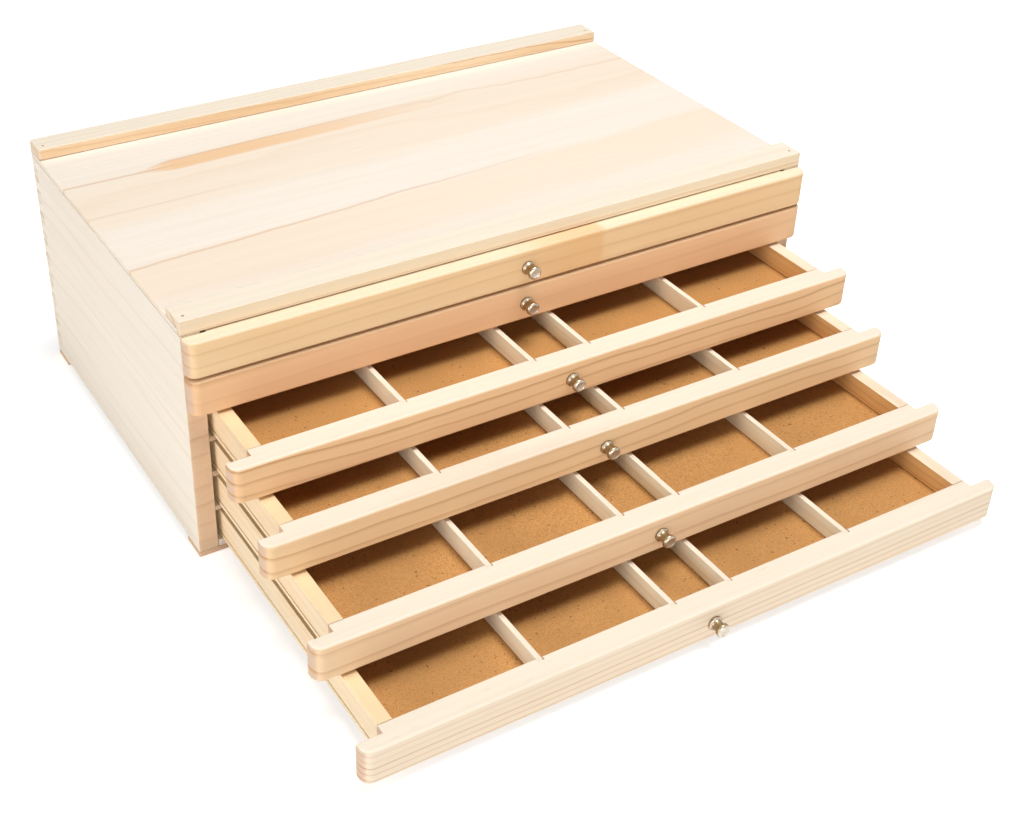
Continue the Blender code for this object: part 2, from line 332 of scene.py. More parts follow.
def add_turned(name, outline, base):
    """A turned piece from its outline as (radius, height) pairs, standing out towards -Y."""
    half = 0.001
    piece = add_new(bpy.ops.mesh.primitive_plane_add, name, size=half * 2)
    start_edit(piece, "VERT")
    pick(piece, "verts", lambda vert: vert.co.x < 0.0 or vert.co.y < 0.0)
    bpy.ops.mesh.delete(type="VERT")
    bpy.ops.mesh.select_all(action="SELECT")
    here = Vector((half, half, 0.0))
    there = Vector((outline[0][0], 0.0, outline[0][1]))
    bpy.ops.transform.translate(value=there - here)
    for radius, height in outline[1:]:
        here, there = there, Vector((radius, 0.0, height))
        bpy.ops.mesh.extrude_vertices_move(TRANSFORM_OT_translate={"value": there - here})
    bpy.ops.mesh.select_all(action="SELECT")
    steps = bpy.context.scene.box_sizes.knob_sides
    bpy.ops.mesh.spin(steps=steps, angle=math.tau, center=nowhere, axis=along_z)
    bpy.ops.mesh.select_all(action="SELECT")
    bpy.ops.mesh.remove_doubles(threshold=0.00001)
    bpy.ops.mesh.normals_make_consistent(inside=False)
    bpy.ops.object.mode_set(mode="OBJECT")
    piece.rotation_euler.x = math.pi / 2
    piece.location = base
    bpy.ops.object.transform_apply()
    return piece


# Shader steps


class Value:
    """What a node puts out, with the nodes that can follow it."""

    def __init__(self, tree, socket):
        self.tree = tree
        self.socket = socket

    def then(self, kind, *terms, output=0, **settings):
        """What a node puts out that takes this value and then the other terms."""
        node = put(self.tree, kind, dict(enumerate((self, *terms))), **settings)
        return Value(self.tree, node.outputs[output])

    def maths(self, operation, *terms, clamp=False):
        """The result of a Math node."""
        return self.then("Math", *terms, operation=operation, use_clamp=clamp)

    def __add__(self, other):
        return self.maths("ADD", other)

    def __sub__(self, other):
        return self.maths("SUBTRACT", other)

    def __mul__(self, other):
        return self.maths("MULTIPLY", other)

    def __truediv__(self, other):
        return self.maths("DIVIDE", other)

    def __abs__(self):
        return self.maths("ABSOLUTE")

    def vector_maths(self, operation, *terms):
        """The result of a Vector Math node."""
        output = int(operation in ("DOT_PRODUCT", "LENGTH"))
        return self.then("VectorMath", *terms, output=output, operation=operation)

    def fade(self, low, high):
        """A smooth step from 0 where this value is low to 1 where it is high."""
        return self.then("MapRange", low, high, interpolation_type="SMOOTHSTEP")

    def axes(self):
        """The three numbers of this vector."""
        sockets = put(self.tree, "SeparateXYZ", {0: self}).outputs
        return [Value(self.tree, socket) for socket in sockets]

    def noise(self, stretch, seed, detail=2.0):
        """A noise value from 0 to 1, with its features per metre along each axis."""
        inputs = {
            "Vector": self.vector_maths("MULTIPLY", stretch), "W": seed, "Scale": 1.0,
            "Detail": detail}
        node = put(self.tree, "TexNoise", inputs, noise_dimensions="4D")
        return Value(self.tree, node.outputs[0])


def feed(tree, node, inputs):
    """Link or set the inputs of a node. A plain colour gets full cover."""
    for key, value in inputs.items():
        socket = node.inputs[key]
        if isinstance(value, Value):
            value = value.socket
        if isinstance(value, NodeSocket):
            tree.links.new(value, socket)
        else:
            socket.default_value = (*value, 1.0) if socket.type == "RGBA" else value


def put(tree, kind, inputs=None, **settings):
    """Place a shader node, with its settings and what its inputs take."""
    node = tree.nodes.new("ShaderNode" + kind)
    for name, value in settings.items():
        setattr(node, name, value)
    feed(tree, node, inputs or {})
    return node


def outputs_of(tree, node):
    """What a node puts out, by name."""
    return {socket.name: Value(tree, socket) for socket in node.outputs if socket.name}


def blend(tree, amount, first, second, kind="MIX"):
    """One colour laid over another by an amount."""
    node = put(
        tree, "Mix", {0: amount, 6: first, 7: second}, data_type="RGBA",
        blend_type=kind)
    return Value(tree, node.outputs[2])


def open_group(name, **inputs):
    """A new node group with its inputs' defaults, and what comes in. In names, _ is a space."""
    tree = bpy.data.node_groups.new(name, "ShaderNodeTree")
    for label, default in inputs.items():
        kind = "Float" if isinstance(default, float) else {3: "Vector", 4: "Color"}[len(default)]
        socket = tree.interface.new_socket(
            name=label.replace("_", " "), in_out="INPUT", socket_type="NodeSocket" + kind)
        socket.default_value = default
    return tree, outputs_of(tree, tree.nodes.new("NodeGroupInput"))


def close_group(tree, **outputs):
    """Give a node group its outputs."""
    named = {label.replace("_", " "): value for label, value in outputs.items()}
    for label, value in named.items():
        kind = "Color" if value.socket.type == "RGBA" else "Float"
        tree.interface.new_socket(name=label, in_out="OUTPUT", socket_type="NodeSocket" + kind)
    feed(tree, tree.nodes.new("NodeGroupOutput"), named)


def use_group(tree, group, **inputs):
    """What a group puts out when it is placed in a tree."""
    inputs = {label.replace("_", " "): value for label, value in inputs.items()}
    return outputs_of(tree, put(tree, "Group", inputs, node_tree=bpy.data.node_groups[group]))


def nest_group(tree, group, given):
    """What a group puts out when it shares its inputs with the group around it."""
    labels = bpy.data.node_groups[group].interface.items_tree.keys()
    return use_group(tree, group, **{label: given[label] for label in labels if label in given})


def build_growth_rings():
    """Year rings round a pith along X, seen wherever a board's surface cuts them."""
    tree, given = open_group(
        "growth rings", Vector=nowhere, Ring_Gap=0.005, Wander=0.003, Taper=0.0, Seed=0.0)
    along, across, up = given["Vector"].axes()
    slow = given["Vector"].noise((5.0, 14.0, 14.0), given["Seed"], 1.0)
    quick = given["Vector"].noise((22.0, 60.0, 60.0), given["Seed"])
    quick_share = 0.24
    bend = slow - 0.5 + (quick - 0.5) * quick_share
    radius = bend * given["Wander"] + (across * across + up * up).maths("SQRT")
    years = (radius + along * given["Taper"]) / given["Ring Gap"]
    season = years.maths("FRACT")
    late_start, late_peak, steepness = 0.50, 0.95, 2.5
    late = season.fade(late_start, late_peak).maths("POWER", steepness)
    tone = put(
        tree, "TexWhiteNoise", {"W": years.maths("FLOOR") + given["Seed"]},
        noise_dimensions="1D")
    close_group(
        tree, Late_Wood=late * season.fade(1.0, late_peak), Year_Tone=Value(tree, tone.outputs[0]))


def build_wood_fibres():
    """Fibres along X, broad mottling, and the short dark dashes of resin ducts."""
    tree, given = open_group("wood fibres", Vector=nowhere, Seed=0.0)
    place, seed = given["Vector"], given["Seed"]
    fine = place.noise((14.0, 900.0, 900.0), seed, 3.0)
    coarse = place.noise((6.0, 240.0, 240.0), seed)
    mottle = place.noise((6.0, 28.0, 28.0), seed)
    duct = place.noise((95.0, 1100.0, 1100.0), seed, 1.0)
    close_group(
        tree, Fibre=fine * 0.45 + coarse * 0.55, Mottle=mottle.fade(0.3, 0.7),
        Dash=duct.fade(0.70, 0.80))


def build_facing():
    """Which surfaces face up, and which are sawn across the grain."""
    tree, given = open_group("facing", Normal=along_z, Grain_Axis=along_x)
    up = given["Normal"].axes()[2]
    across = given["Normal"].vector_maths("DOT_PRODUCT", given["Grain Axis"])
    close_group(tree, Top=up.fade(0.25, 0.95), End=abs(across).fade(0.55, 0.9))


def build_arris_wear():
    """A broken band along the edges of a board, from its two corners."""
    tree, given = open_group(
        "arris wear", Place=nowhere, Low_Corner=nowhere, High_Corner=nowhere, Reach=0.002,
        Seed=0.0)
    place = given["Place"]
    inside = place.vector_maths("SUBTRACT", given["Low Corner"]).vector_maths(
        "MINIMUM", given["High Corner"].vector_maths("SUBTRACT", place))
    first, second, third = inside.vector_maths("ABSOLUTE").axes()
    middle = first.maths("MINIMUM", second).maths(
        "MAXIMUM", first.maths("MAXIMUM", second).maths("MINIMUM", third))
    patchy = place.noise((160.0,) * 3, given["Seed"], 3.0)
    close_group(tree, Wear=middle.fade(given["Reach"] * (patchy * 2.0), 0.0))


def build_pine_board():
    """Bare planed pine: rings, fibres, end grain, a painted highlight on faces that look up, and
    rubbed edges.
    """
    tree, given = open_group(
        "pine board", Vector=nowhere, Place=nowhere, Normal=along_z, Grain_Axis=along_x,
        Low_Corner=(-far_off,) * 3, High_Corner=(far_off,) * 3, Pale=black, Warm=black,
        Grain_Line=black, End_Grain=black, Sanded=black, Ring_Gap=0.005, Ring_Strength=0.5,
        Wander=0.003, Taper=0.0, Mottling=0.5, Top_Sanding=0.0, Edge_Wear=0.25, Seed=0.0)
    rings = nest_group(tree, "growth rings", given)
    fibres = nest_group(tree, "wood fibres", given)
    faces = nest_group(tree, "facing", given)
    wear = nest_group(tree, "arris wear", given)["Wear"]

    # Faces that look up get a painted highlight, which also fades their grain lines
    highlight_and_wear = faces["Top"] * given["Top Sanding"]
    late = rings["Late Wood"] * (rings["Year Tone"] * 0.75 + 0.25) * given["Ring Strength"]
    late = late.maths("MULTIPLY", faces["End"] * 1.5 + 1.0, clamp=True) * (highlight_and_wear * -0.8 + 1.0)
    wood = blend(tree, fibres["Mottle"] * given["Mottling"], given["Pale"], given["Warm"])
    for amount, tone in (
            (highlight_and_wear, "Sanded"), (faces["End"] * 0.85, "End Grain"), (late, "Grain Line"),
            (fibres["Dash"] * 0.22, "Grain Line")):
        wood = blend(tree, amount, wood, given[tone])
    shade = (fibres["Fibre"] - 0.5) * 0.22 + 1.0
    grey = put(tree, "CombineColor", {0: shade, 1: shade, 2: shade})
    wood = blend(tree, 1.0, wood, grey.outputs[0], "MULTIPLY")
    wood = blend(tree, wear * given["Edge Wear"], wood, given["Sanded"])
    close_group(
        tree, Colour=wood, Roughness=fibres["Fibre"] * 0.18 + 0.50 + faces["End"] * 0.12,
        Height=rings["Late Wood"] * 0.35 + fibres["Fibre"] + fibres["Dash"] * -0.5)


def build_heart_streak():
    """A streak of heart wood along X: its fill, and the dark line on its far edge."""
    tree, given = open_group(
        "heart streak", Place=nowhere, Start_X=0.0, End_X=0.0, Start_Fade=0.02, End_Fade=0.02,
        Middle_Y=0.0, Slope=0.0, Sway=0.001, Half_Width=0.002, Seed=0.0)
    along, across, _ = given["Place"].axes()
    curl = given["Place"].noise((24.0, 10.0, 10.0), given["Seed"], 3.0) - 0.5
    middle = curl * given["Sway"] + (along * given["Slope"] + given["Middle Y"])
    opening = along.fade(given["Start X"], given["Start X"] + given["Start Fade"])
    closing = along.fade(given["End X"], given["End X"] - given["End Fade"])
    shown = opening * closing
    off = (across - middle) / (given["Half Width"] * (opening * 0.8 + 0.2))
    close_group(
        tree, Fill=abs(off).fade(1.15, 0.7) * shown,
        Line=abs(off - 0.95).fade(0.3, 0.0) * shown)


def build_pressed_fibre():
    """Hardboard: fine chips, dark flecks and broad stains."""
    tree, given = open_group("pressed fibre", Vector=nowhere, Seed=0.0)
    chips, fleck, stain = [
        given["Vector"].noise((fineness,) * 3, given["Seed"], detail)
        for fineness, detail in ((1300.0, 3.0), (520.0, 1.0), (22.0, 3.0))]
    close_group(tree, Chips=chips, Fleck=fleck.fade(0.68, 0.74), Stain=stain.fade(0.3, 0.7))


def build_turned_metal():
    """Fine marks round a turned and plated piece, its dulling, and a browner tone on its sides
    round the neck.
    """
    tree, given = open_group("turned metal", Vector=nowhere, Normal=along_z, Seed=0.0)
    marks = given["Vector"].noise((300.0, 9000.0, 300.0), given["Seed"])
    dull = given["Vector"].noise((500.0,) * 3, given["Seed"], 3.0)
    level = given["Normal"].axes()[1]
    close_group(tree, Marks=marks, Dull=dull.fade(0.35, 0.7), Neck=abs(level).fade(0.85, 0.2))


def build_groups():
    """All shared effects, once."""
    for build in (
            build_growth_rings, build_wood_fibres, build_facing, build_arris_wear,
            build_pine_board, build_heart_streak, build_pressed_fibre, build_turned_metal):
        build()


# Finishes


def shaded(base, *shares):
    """A colour with each of its three numbers multiplied by a share."""
    return [min(1.0, value * part) for value, part in zip(base, shares)]


def new_finish(name):
    """A material, its tree, its shader and the places on its piece."""
    material = bpy.data.materials.new(name)
    material.use_nodes = True
    tree = material.node_tree
    places = outputs_of(tree, put(tree, "TexCoord"))
    return material, tree, tree.nodes["Principled BSDF"], places


def dress(tree, shader, base, roughness, height, strength, distance, gloss=wood_gloss):
    """Give a shader its colour, its roughness, a bump and its gloss."""
    bump = put(tree, "Bump", {"Height": height, "Strength": strength, "Distance": distance})
    feed(tree, shader, {
        "Base Color": base, "Roughness": roughness, "Normal": bump.outputs[0],
        "Specular IOR Level": gloss})


def pine_finish(name, along, pith, slope=0.0, board=None, **values):
    """A pine for boards along X or Y, from where their pith lies across the grain, and its slope
    in degrees. The pith is (Y, Z) or (X, Z). The edges are rubbed if the board is named.
    """
    colours = bpy.context.scene.box_colours
    material, tree, shader, places = new_finish(name)
    across, up = pith
    axis, centre, turn = along_x, (0.0, -across, -up), (0.0, math.radians(slope), 0.0)
    if along == "Y":
        axis, centre, turn = along_y, (0.0, across, -up), (math.radians(slope), 0.0, -math.pi / 2)
    moved = put(
        tree, "Mapping",
        {"Vector": places["Object"], "Location": centre, "Rotation": turn})
    settings = {
        "Pale": colours.pale_pine, "Warm": colours.warm_pine, "Grain_Line": colours.grain_line,
        "End_Grain": colours.end_grain, "Sanded": colours.top_highlight_and_wear, **values}
    if board:
        settings["Low_Corner"], settings["High_Corner"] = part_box(board)
    wood = use_group(
        tree, "pine board", Vector=moved.outputs[0], Place=places["Object"],
        Normal=places["Normal"], Grain_Axis=axis, **settings)
    dress(tree, shader, wood["Colour"], wood["Roughness"], wood["Height"], 0.25, 0.0003)
    return material


def place_on(material):
    """The place on the piece that has a material."""
    tree = material.node_tree
    return outputs_of(tree, tree.nodes["Texture Coordinate"])["Object"]


def lay_over(material, amount, tone):
    """Lay a colour over a finish's own colour by an amount."""
    tree = material.node_tree
    shader = tree.nodes["Principled BSDF"]
    under = shader.inputs["Base Color"].links[0].from_socket
    feed(tree, shader, {"Base Color": blend(tree, amount, under, tone)})


def top_board_finish():
    """The top board: pale and warm bands along it, with streaks of heart wood."""
    colours = bpy.context.scene.box_colours
    material = pine_finish(
        "top_board_pine", "X", (0.05, -0.30), board="top_board", End_Grain=(0.91, 0.81, 0.68),
        Ring_Gap=0.013, Ring_Strength=0.10, Wander=0.02, Mottling=0.2, Seed=3.0)
    place = place_on(material)
    along, across, _ = place.axes()
    drift = (place.noise((7.0, 20.0, 20.0), 5.0) - 0.5) * 0.022
    level = along * -0.05 + across + drift
    front_band = level.fade(0.0, 0.03) * level.fade(0.068, 0.060)
    back_band = level.fade(0.100, 0.118) * level.fade(0.19, 0.15)
    lay_over(material, front_band * 0.42, (0.92, 0.70, 0.49))
    lay_over(material, back_band * 0.34, (0.90, 0.70, 0.47))
    labels = (
        "Start_X", "End_X", "Start_Fade", "End_Fade", "Middle_Y", "Slope", "Sway", "Half_Width",
        "Seed")
    streaks = (
        (-0.160, 0.10, 0.03, 0.20, 0.1622, 0.034, 0.002, 0.0068, 1.0),
        (-0.23, -0.12, 0.02, 0.03, 0.157, 0.0, 0.001, 0.0011, 2.0),
        (0.0, 0.22, 0.05, 0.02, 0.1675, -0.01, 0.014, 0.0013, 4.0),
        (-0.24, 0.11, 0.02, 0.16, 0.064, 0.065, 0.005, 0.0012, 6.0),
        (-0.22, -0.07, 0.02, 0.08, 0.117, 0.01, 0.002, 0.0012, 8.0))
    lens, *thin_lines = [
        use_group(material.node_tree, "heart streak", Place=place, **dict(zip(labels, numbers)))
        for numbers in streaks]
    lay_over(material, lens["Fill"] * 0.72, colours.heart_wood)
    lay_over(material, lens["Line"] * 0.42, colours.grain_line)
    for line, strength in zip(thin_lines, (0.42, 0.18, 0.34, 0.18)):
        lay_over(material, line["Fill"] * strength, colours.grain_line)
    return material


def hardboard_finish():
    """The smooth side of bare hardboard."""
    colours = bpy.context.scene.box_colours
    board = colours.hardboard
    material, tree, shader, places = new_finish("hardboard_sheet")
    fibre = use_group(tree, "pressed fibre", Vector=places["Object"], Seed=2.0)
    base = blend(tree, fibre["Stain"], board, shaded(board, 1.16, 1.16, 1.16))
    base = blend(tree, fibre["Chips"].fade(0.62, 0.30), base, shaded(board, 0.82, 0.77, 0.66))
    base = blend(tree, fibre["Fleck"] * 0.75, base, colours.fleck)
    dress(tree, shader, base, fibre["Chips"] * 0.25 + 0.5, fibre["Chips"], 0.3, 0.0002)
    return material


def metal_finish(name, base, roughness, seed):
    """A turned metal in a base colour."""
    material, tree, shader, places = new_finish(name)
    surface = use_group(
        tree, "turned metal", Vector=places["Object"], Normal=places["Normal"], Seed=seed)
    plating = blend(tree, surface["Dull"], base, shaded(base, 0.75, 0.75, 0.75))
    plating = blend(tree, surface["Neck"], plating, shaded(base, 0.62, 0.52, 0.36))
    rough = surface["Marks"] * 0.12 + roughness + surface["Dull"] * 0.12
    dress(tree, shader, plating, rough, surface["Marks"], 0.15, 0.0001, gloss=0.5)
    feed(tree, shader, {"Metallic": 1.0})
    return material


def front_finishes():
    """A pine for each of the six drawer fronts, from the top one down."""
    colours = bpy.context.scene.box_colours
    top = colours.top_highlight_and_wear
    looks = (
        # face, top highlight and edge wear, ring gap, ring strength, wander, slope in degrees,
        # mottling. The darker tops of the first two fronts are painted shade: under the front rail,
        # and in the gap below the first front
        ((0.90, 0.65, 0.38), (0.87, 0.73, 0.54), 0.0075, 0.50, 0.006, 0.6, 0.6),
        ((0.89, 0.575, 0.335), (0.80, 0.56, 0.35), 0.012, 0.55, 0.008, 0.9, 0.3),
        (colours.front_pine, top, 0.0068, 1.0, 0.016, -0.4, 0.35),
        ((0.90, 0.645, 0.385), top, 0.0080, 1.0, 0.012, 0.5, 0.35),
        ((0.91, 0.68, 0.45), top, 0.010, 0.75, 0.008, 0.3, 0.35),
        ((0.90, 0.77, 0.61), top, 0.0038, 0.75, 0.004, 0.25, 0.4))
    pith_behind, pith_below, first_seed = 0.012, 0.07, 11.0
    finishes = []
    for number, look in enumerate(looks):
        face, highlight_and_wear, gap, strength, wander, slope, mottling = look
        board = drawers[number] + "_front"
        low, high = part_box(board)
        finishes.append(pine_finish(
            board + "_pine", "X", (high.y + pith_behind, low.z - pith_below), slope, board,
            Pale=face, Warm=shaded(face, 1.0, 0.9, 0.8), End_Grain=(0.66, 0.47, 0.355),
            Sanded=highlight_and_wear, Ring_Gap=gap, Ring_Strength=strength, Wander=wander,
            Mottling=mottling, Top_Sanding=1.0, Edge_Wear=0.2, Seed=first_seed + number))
    along = place_on(finishes[0]).axes()[0]
    patch = along.fade(-0.022, 0.034) * along.fade(0.053, 0.048)
    lay_over(finishes[0], patch * 0.55, (0.84, 0.47, 0.19))
    return finishes


# Operators, one for each piece or group of like pieces


class BOX_OT_side_panels(Operator):
    """Model the two side panels, with the slots of their back corner joints"""

    bl_idname = "box.side_panels"
    bl_label = "Side Panels"

    def execute(self, context):
        for side, word in sides:
            node = word + "_side_panel"
            panel = add_block(word + "_panel", *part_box(node))
            cut_comb(panel, word, odd_rows=True)
            drill_brad_holes(panel, "front_" + word, "back_" + word)
            ease_edges(panel, 0.8)
            finish = pine_finish(
                node + "_pine", "Y", (side * 0.16, -0.34), 0.7, node,
                Pale=(0.91, 0.82, 0.705), Warm=(0.90, 0.78, 0.64), End_Grain=(0.78, 0.54, 0.35),
                Ring_Gap=0.0105, Ring_Strength=0.15, Wander=0.030, Mottling=0.5,
                Seed=20.0 + side)
            seat(panel, "cabinet", finish, node)
        return {"FINISHED"}


class BOX_OT_back_panel(Operator):
    """Model the back panel, with the slots of its corner joints"""

    bl_idname = "box.back_panel"
    bl_label = "Back Panel"

    def execute(self, context):
        panel = add_block("rear_panel", *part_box("back_panel"))
        for _, word in sides:
            cut_comb(panel, word, odd_rows=False)
        ease_edges(panel, 0.8)
        finish = pine_finish(
            "back_panel_pine", "X", (0.30, -0.30), 0.6, "back_panel",
            End_Grain=(0.87, 0.77, 0.64), Ring_Gap=0.009, Ring_Strength=0.32, Wander=0.012,
            Seed=25.0)
        seat(panel, "cabinet", finish, "back_panel")
        return {"FINISHED"}


class BOX_OT_top_board(Operator):
    """Model the top board"""

    bl_idname = "box.top_board"
    bl_label = "Top Board"

    def execute(self, context):
        board = add_block("lid_board", *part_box("top_board"))
        drill_brad_holes(board, "front_left", "front_right", "back_left", "back_right")
        ease_edges(board, 0.6)
        seat(board, "cabinet", top_board_finish(), "top_board")
        return {"FINISHED"}


class BOX_OT_rails(Operator):
    """Model the rails along the front and the back of the top"""

    bl_idname = "box.rails"
    bl_label = "Top Rails"

    def execute(self, context):
        sizes = context.scene.box_sizes
        low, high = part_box("front_rail")
        lip_y = low.y + sizes.rail_lip
        rebate_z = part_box("top_board")[1].z + sizes.joint_gap
        rail = add_block("front_rail_bar", (low.x, low.y, rebate_z), high)
        start_edit(rail, "FACE")
        bpy.ops.mesh.select_all(action="SELECT")
        bpy.ops.mesh.bisect(plane_co=(0.0, lip_y, 0.0), plane_no=along_y)
        pick(rail, "faces", lambda face: face.normal.z < -square_on
             and face.calc_center_median().y < lip_y)
        drop = (0.0, 0.0, low.z - rebate_z)
        bpy.ops.mesh.extrude_region_move(TRANSFORM_OT_translate={"value": drop})
        bpy.ops.object.mode_set(mode="OBJECT")
        use_modifier(rail, "DECIMATE", decimate_type="DISSOLVE", angle_limit=math.radians(1))
        drill_brad_holes(rail, "front_left", "front_right")
        ease_edges(rail)
        finish = pine_finish(
            "front_rail_pine", "X", (0.05, 0.06), 0.3, "front_rail",
            Pale=(0.90, 0.75, 0.55), Warm=(0.87, 0.68, 0.46), End_Grain=(0.84, 0.66, 0.50),
            Ring_Gap=0.006, Ring_Strength=0.50, Top_Sanding=1.0, Edge_Wear=0.2, Seed=31.0)
        seat(rail, "cabinet", finish, "front_rail")

        rail = add_block("back_rail_bar", *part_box("back_rail"))
        drill_brad_holes(rail, "back_left", "back_right")
        ease_edges(rail)
        finish = pine_finish(
            "back_rail_pine", "X", (0.27, 0.08), -0.4, "back_rail",
            Pale=(0.91, 0.71, 0.48), Warm=(0.78, 0.50, 0.26), End_Grain=(0.88, 0.74, 0.58),
            Ring_Gap=0.0032, Ring_Strength=1.0, Wander=0.016, Mottling=0.75, Taper=0.016,
            Top_Sanding=1.0, Edge_Wear=0.3, Seed=34.0)
        seat(rail, "cabinet", finish, "back_rail")
        return {"FINISHED"}


class BOX_OT_carcass_details(Operator):
    """Finish the frame's own feet, runners, bottom board and brads"""

    bl_idname = "box.carcass_details"
    bl_label = "Feet, Runners and Brads"

    def execute(self, context):
        finishes = {
            "_foot": pine_finish(
                "foot_pine", "X", (0.10, -0.05), 0.5, Pale=(0.80, 0.55, 0.38),
                Warm=(0.76, 0.49, 0.31), Ring_Gap=0.004, Ring_Strength=0.4, Seed=41.0),
            "_runner_": pine_finish(
                "runner_pine", "Y", (0.0, -0.2), Pale=(0.90, 0.74, 0.55),
                End_Grain=(0.86, 0.66, 0.48), Ring_Gap=0.007, Ring_Strength=0.3, Seed=43.0),
            "bottom_board": pine_finish(
                "bottom_board_pine", "X", (0.10, -0.20), Ring_Gap=0.009, Ring_Strength=0.3,
                Seed=44.0),
            "_brad": metal_finish("brad_metal", context.scene.box_colours.steel, 0.45, 5.0)}
        for name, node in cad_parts.items():
            for part, finish in finishes.items():
                if part in name:
                    node.material_slots[0].material = finish
        return {"FINISHED"}


class BOX_OT_drawer_fronts(Operator):
    """Model the drawer fronts, rounded on the face and thicker between the drawer's sides"""

    bl_idname = "box.drawer_fronts"
    bl_label = "Drawer Fronts"

    def execute(self, context):
        sizes = context.scene.box_sizes
        low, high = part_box("drawer_1_front")
        inner_low, inner_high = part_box("drawer_1_divider_frame")
        knob_low, knob_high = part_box("drawer_1_knob")
        tray_front = inner_low.y + sizes.wall_thickness
        near = sizes.joint_gap / 10

        def upright_on_face(edge):
            first, second = [vert.co for vert in edge.verts]
            return abs(first.z - second.z) > near and max(first.y, second.y) < low.y + near

        def on_rim(edge):
            first, second = [vert.co for vert in edge.verts]
            return min(first.y, second.y) < high.y - near and any(
                abs(first.z - rim_z) + abs(second.z - rim_z) < near for rim_z in (low.z, high.z))

        bar = add_block("drawer_1_front_bar", low, high)
        start_edit(bar, "EDGE")
        pick(bar, "edges", upright_on_face)
        bpy.ops.mesh.bevel(
            offset=sizes.corner_radius, segments=sizes.corner_steps, affect="EDGES")
        pick(bar, "edges", on_rim)
        bpy.ops.mesh.bevel(offset=sizes.rim_radius, segments=sizes.rim_steps, affect="EDGES")
        bpy.ops.mesh.select_mode(type="FACE")
        for place, turned in (
                ((inner_low.x, 0.0, 0.0), along_x), ((inner_high.x, 0.0, 0.0), along_x),
                ((0.0, 0.0, inner_low.z), along_z)):
            pick(bar, "faces", lambda face: face.normal.y > square_on)
            bpy.ops.mesh.bisect(plane_co=place, plane_no=turned)
        pick(bar, "faces", lambda face: face.normal.y > square_on
             and abs(face.calc_center_median().x) < inner_high.x
             and face.calc_center_median().z > inner_low.z)
        into_tray = (0.0, tray_front - high.y, 0.0)
        bpy.ops.mesh.extrude_region_move(TRANSFORM_OT_translate={"value": into_tray})
        bpy.ops.object.mode_set(mode="OBJECT")
        cut_sheet_groove(bar)
        cut_divider_notches(bar, tray_front)
        bore(bar, 24, sizes.stud_radius + sizes.joint_gap, sizes.stud_length + sizes.joint_gap,
             (0.0, low.y, (knob_low.z + knob_high.z) / 2), (math.pi / 2, 0.0, 0.0))
        ease_edges(bar, 0.3)
        smooth_rounds(bar)
        seat_in_drawers(
            bar, "front_bar", ["front", "divider_frame"], front_finishes(), "pine_front")
        return {"FINISHED"}


class BOX_OT_drawer_sides(Operator):
    """Model the drawer sides, with the groove of the sheet and the saw kerf"""

    bl_idname = "box.drawer_sides"
    bl_label = "Drawer Sides"

    def execute(self, context):
        sizes = context.scene.box_sizes
        gap = sizes.joint_gap
        looks = (
            # pale, warm, and top highlight and edge wear colour, ring gap, ring strength. The right
            # sides' deeper orange is painted shade on their inner faces, and the left sides'
            # browner top colour paints the shade in the gaps between the drawers
            ((0.93, 0.78, 0.57), (0.89, 0.65, 0.39), (0.90, 0.69, 0.42), 0.0065, 0.2),
            ((0.86, 0.56, 0.25), (0.80, 0.44, 0.15), (0.90, 0.79, 0.63), 0.0045, 0.8))
        for (side, word), (pale, warm, highlight_and_wear, ring_gap, strength) in zip(sides, looks):
            low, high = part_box("drawer_1_%s_side" % word)
            board = add_block("drawer_1_%s_board" % word, low, high)
            cut_sheet_groove(board)
            outer = low.x if side < 0 else high.x
            kerf_top = high.z - sizes.kerf_below_top
            cut_block(
                board, (outer - sizes.kerf_depth, low.y - gap, kerf_top - sizes.kerf_height),
                (outer + sizes.kerf_depth, high.y + gap, kerf_top))
            ease_edges(board, 0.4)
            finish = pine_finish(
                "drawer_%s_side_pine" % word, "Y", (side * 0.20, -0.12), 0.4,
                Pale=pale, Warm=warm, Sanded=highlight_and_wear, Ring_Gap=ring_gap, Ring_Strength=strength,
                Wander=0.010, Mottling=0.8, Top_Sanding=0.9, Seed=50.0 + side)
            seat_in_drawers(board, word + "_board", [word + "_side"], finish)
        return {"FINISHED"}


class BOX_OT_drawer_backs(Operator):
    """Model the drawers' backs, with notches for the dividers"""

    bl_idname = "box.drawer_backs"
    bl_label = "Drawer Backs"

    def execute(self, context):
        sizes = context.scene.box_sizes
        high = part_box("drawer_1_divider_frame")[1]
        side_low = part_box("drawer_1_right_side")[0]
        half = side_low.x - sizes.joint_gap
        tray_back = high.y - sizes.back_thickness
        back = add_block(
            "drawer_1_back_board", (-half, tray_back, side_low.z), (half, high.y, high.z))
        cut_sheet_groove(back)
        cut_divider_notches(back, tray_back)
        ease_edges(back, 0.5)
        finish = pine_finish(
            "drawer_back_pine", "X", (0.0, -0.16), Pale=(0.92, 0.75, 0.53),
            Warm=(0.90, 0.69, 0.44), Ring_Gap=0.006, Ring_Strength=0.3, Top_Sanding=0.8,
            Seed=60.0)
        seat_in_drawers(back, "back_board", ["divider_frame"], finish)
        return {"FINISHED"}


